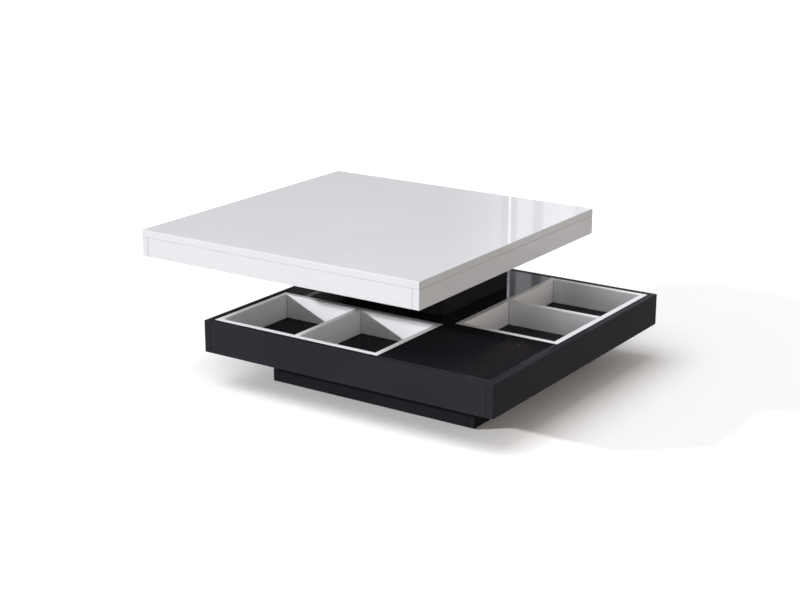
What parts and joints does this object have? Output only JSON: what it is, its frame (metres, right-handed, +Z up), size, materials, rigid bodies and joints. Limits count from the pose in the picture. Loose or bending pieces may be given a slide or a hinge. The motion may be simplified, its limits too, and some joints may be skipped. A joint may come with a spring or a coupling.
{
  "type": "swivel coffee table",
  "caption": "Low square coffee table: a white lacquered top swivels aside on a black pedestal and uncovers white storage trays let into a black base on a set-back plinth.",
  "frame": {"origin": "on the floor under the middle of the base, at the middle floor glide", "axes": "+X to the right along the front edge of the base, +Y to the back, +Z up; at rest the top is swung to the left, a quarter turn away from the place where it covers the base"},
  "size_m": [0.988, 0.8, 0.36],
  "materials": {
    "black_lacquer": "board with black high-gloss lacquer",
    "white_lacquer": "board with white high-gloss lacquer",
    "raw_board": "bare fibreboard",
    "dowel_wood": "bare beech",
    "zinc_steel": "zinc-plated steel",
    "ball_steel": "polished steel",
    "cage_plastic": "natural nylon",
    "glide_plastic": "black plastic"
  },
  "bodies": {
    "base": {"plinth_left": "black_lacquer", "plinth_right": "black_lacquer", "plinth_front": "black_lacquer", "plinth_back": "black_lacquer", "base_left": "black_lacquer", "base_right": "black_lacquer", "base_front": "black_lacquer", "base_back": "black_lacquer", "base_floor": "black_lacquer", "deck_main": "black_lacquer", "deck_corner": "black_lacquer", "pedestal_left": "black_lacquer", "pedestal_right": "black_lacquer", "pedestal_front": "black_lacquer", "pedestal_back": "black_lacquer", "pedestal_head_board": "black_lacquer", "front_tray_front": "white_lacquer", "front_tray_back": "white_lacquer", "front_tray_left": "white_lacquer", "front_tray_right": "white_lacquer", "front_tray_divider": "white_lacquer", "side_tray_front": "white_lacquer", "side_tray_back": "white_lacquer", "side_tray_left": "white_lacquer", "side_tray_right": "white_lacquer", "side_tray_divider": "white_lacquer", "plinth_cross_rail": "raw_board", "plinth_corner_blocks": "raw_board", "deck_ribs": "raw_board", "pedestal_foot_board": "raw_board", "plinth_dowels": "dowel_wood", "base_dowels": "dowel_wood", "deck_dowels": "dowel_wood", "pedestal_dowels": "dowel_wood", "plinth_screws": "zinc_steel", "base_floor_screws": "zinc_steel", "pedestal_screws": "zinc_steel", "bearing_lower_plate": "zinc_steel", "bearing_hub": "zinc_steel", "bearing_lower_screws": "zinc_steel", "base_cam_bolts": "zinc_steel", "base_cams": "zinc_steel", "floor_glides": "glide_plastic"},
    "ball_cage": {"bearing_cage": "cage_plastic", "bearing_balls": "ball_steel"},
    "top": {"bearing_upper_plate": "zinc_steel", "bearing_upper_screws": "zinc_steel", "mounting_board": "raw_board", "top_screws": "zinc_steel", "top_battens": "raw_board", "top_panel": "white_lacquer", "top_left_rail": "white_lacquer", "top_right_rail": "white_lacquer", "top_front_rail": "white_lacquer", "top_back_rail": "white_lacquer", "top_dowels": "dowel_wood", "top_cams": "zinc_steel", "top_cam_bolts": "zinc_steel"}
  },
  "joints": [
    {"name": "top_swivel", "type": "hinge", "parent": "base", "child": "top", "pos_m": [-0.094, 0.094, 0.3165], "axis": [0, 0, 1], "continuous": true},
    {"name": "cage_orbit", "type": "hinge", "parent": "base", "child": "ball_cage", "pos_m": [-0.094, 0.094, 0.3165], "axis": [0, 0, 1], "continuous": true}
  ],
  "couplings": [
    {"joint": "cage_orbit", "follows": "top_swivel", "ratio": 0.5}
  ]
}
